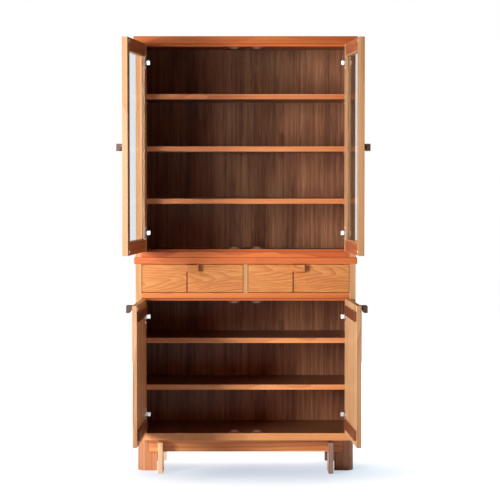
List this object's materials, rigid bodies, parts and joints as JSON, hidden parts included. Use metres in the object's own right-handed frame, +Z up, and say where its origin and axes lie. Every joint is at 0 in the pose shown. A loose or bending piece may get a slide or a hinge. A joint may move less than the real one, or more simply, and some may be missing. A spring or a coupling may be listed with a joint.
{
  "type": "kitchen cupboard",
  "caption": "Tall two-part wooden cupboard with glazed upper doors, inset drawers and solid lower doors on a low base of corner legs and fins.",
  "frame": {"origin": "on the floor under the middle of the case's front plane, in which the doors hang; with the doors open as pictured this is within 10 mm of the middle of the ground that it covers", "axes": "+Z up, +X to the right seen from the front, the front looks along -Y"},
  "size_m": [0.9806, 0.8529, 1.795],
  "materials": {
    "case_wood": "satin, clear orange-brown lacquer",
    "counter_wood": "satin, reddish brown lacquer",
    "back_wood": "satin, brown with upright grain",
    "door_wood": "satin, clear lacquer over light brown wood",
    "batten_wood": "satin, brown lacquer",
    "drawer_wood": "satin, clear lacquer with arched grain",
    "box_wood": "plain pale wood",
    "pull_wood": "satin, clear lacquer",
    "pane_glass": "clear",
    "hinge_steel": "bright nickel",
    "catch_plastic": "brown",
    "magnet_steel": "plain"
  },
  "bodies": {
    "case": {"bottom_board": "case_wood", "catch_magnets": "magnet_steel", "corner_legs": "case_wood", "counter_board": "counter_wood", "door_catches": "catch_plastic", "drawer_deck": "case_wood", "drawer_divider": "case_wood", "front_apron": "case_wood", "hinge_mounts": "hinge_steel", "leg_fins": "case_wood", "lower_back_panel": "back_wood", "lower_door_stop": "case_wood", "lower_shelf_1": "case_wood", "lower_shelf_2": "case_wood", "lower_side_left": "case_wood", "lower_side_right": "case_wood", "rear_apron": "case_wood", "shelf_pins": "hinge_steel", "top_board": "case_wood", "upper_back_panel": "back_wood", "upper_door_stops": "case_wood", "upper_floor": "case_wood", "upper_shelf_1": "case_wood", "upper_shelf_2": "case_wood", "upper_shelf_3": "case_wood", "upper_side_left": "case_wood", "upper_side_right": "case_wood"},
    "upper_left_door": {"upper_left_door_beads": "door_wood", "upper_left_door_bottom_rail": "door_wood", "upper_left_door_glass": "pane_glass", "upper_left_door_hardware": "hinge_steel", "upper_left_door_pull": "pull_wood", "upper_left_door_stiles": "door_wood", "upper_left_door_top_rail": "door_wood"},
    "upper_right_door": {"upper_right_door_beads": "door_wood", "upper_right_door_bottom_rail": "door_wood", "upper_right_door_glass": "pane_glass", "upper_right_door_hardware": "hinge_steel", "upper_right_door_pull": "pull_wood", "upper_right_door_stiles": "door_wood", "upper_right_door_top_rail": "door_wood"},
    "lower_left_door": {"lower_left_door_battens": "batten_wood", "lower_left_door_hardware": "hinge_steel", "lower_left_door_pull": "pull_wood", "lower_left_door_slab": "door_wood"},
    "lower_right_door": {"lower_right_door_battens": "batten_wood", "lower_right_door_hardware": "hinge_steel", "lower_right_door_pull": "pull_wood", "lower_right_door_slab": "door_wood"},
    "left_drawer": {"left_drawer_back": "box_wood", "left_drawer_bottom": "box_wood", "left_drawer_front": "drawer_wood", "left_drawer_pull": "pull_wood", "left_drawer_sides": "box_wood"},
    "right_drawer": {"right_drawer_back": "box_wood", "right_drawer_bottom": "box_wood", "right_drawer_front": "drawer_wood", "right_drawer_pull": "pull_wood", "right_drawer_sides": "box_wood"}
  },
  "joints": [
    {"name": "upper_left_door_swing", "type": "hinge", "parent": "case", "child": "upper_left_door", "pos_m": [-0.4245, 0, 1.3435], "axis": [0, 0, -1], "range_deg": [-97, 13]},
    {"name": "upper_right_door_swing", "type": "hinge", "parent": "case", "child": "upper_right_door", "pos_m": [0.4245, 0, 1.3435], "axis": [0, 0, 1], "range_deg": [-94.6, 15.4]},
    {"name": "lower_left_door_swing", "type": "hinge", "parent": "case", "child": "lower_left_door", "pos_m": [-0.4245, 0, 0.45], "axis": [0, 0, -1], "range_deg": [-91.9, 18.1]},
    {"name": "lower_right_door_swing", "type": "hinge", "parent": "case", "child": "lower_right_door", "pos_m": [0.4245, 0, 0.45], "axis": [0, 0, 1], "range_deg": [-93.3, 16.7]},
    {"name": "left_drawer_slide", "type": "slide", "parent": "case", "child": "left_drawer", "axis": [0, -1, 0], "range_m": [0, 0.3]},
    {"name": "right_drawer_slide", "type": "slide", "parent": "case", "child": "right_drawer", "axis": [0, -1, 0], "range_m": [0, 0.3]}
  ]
}
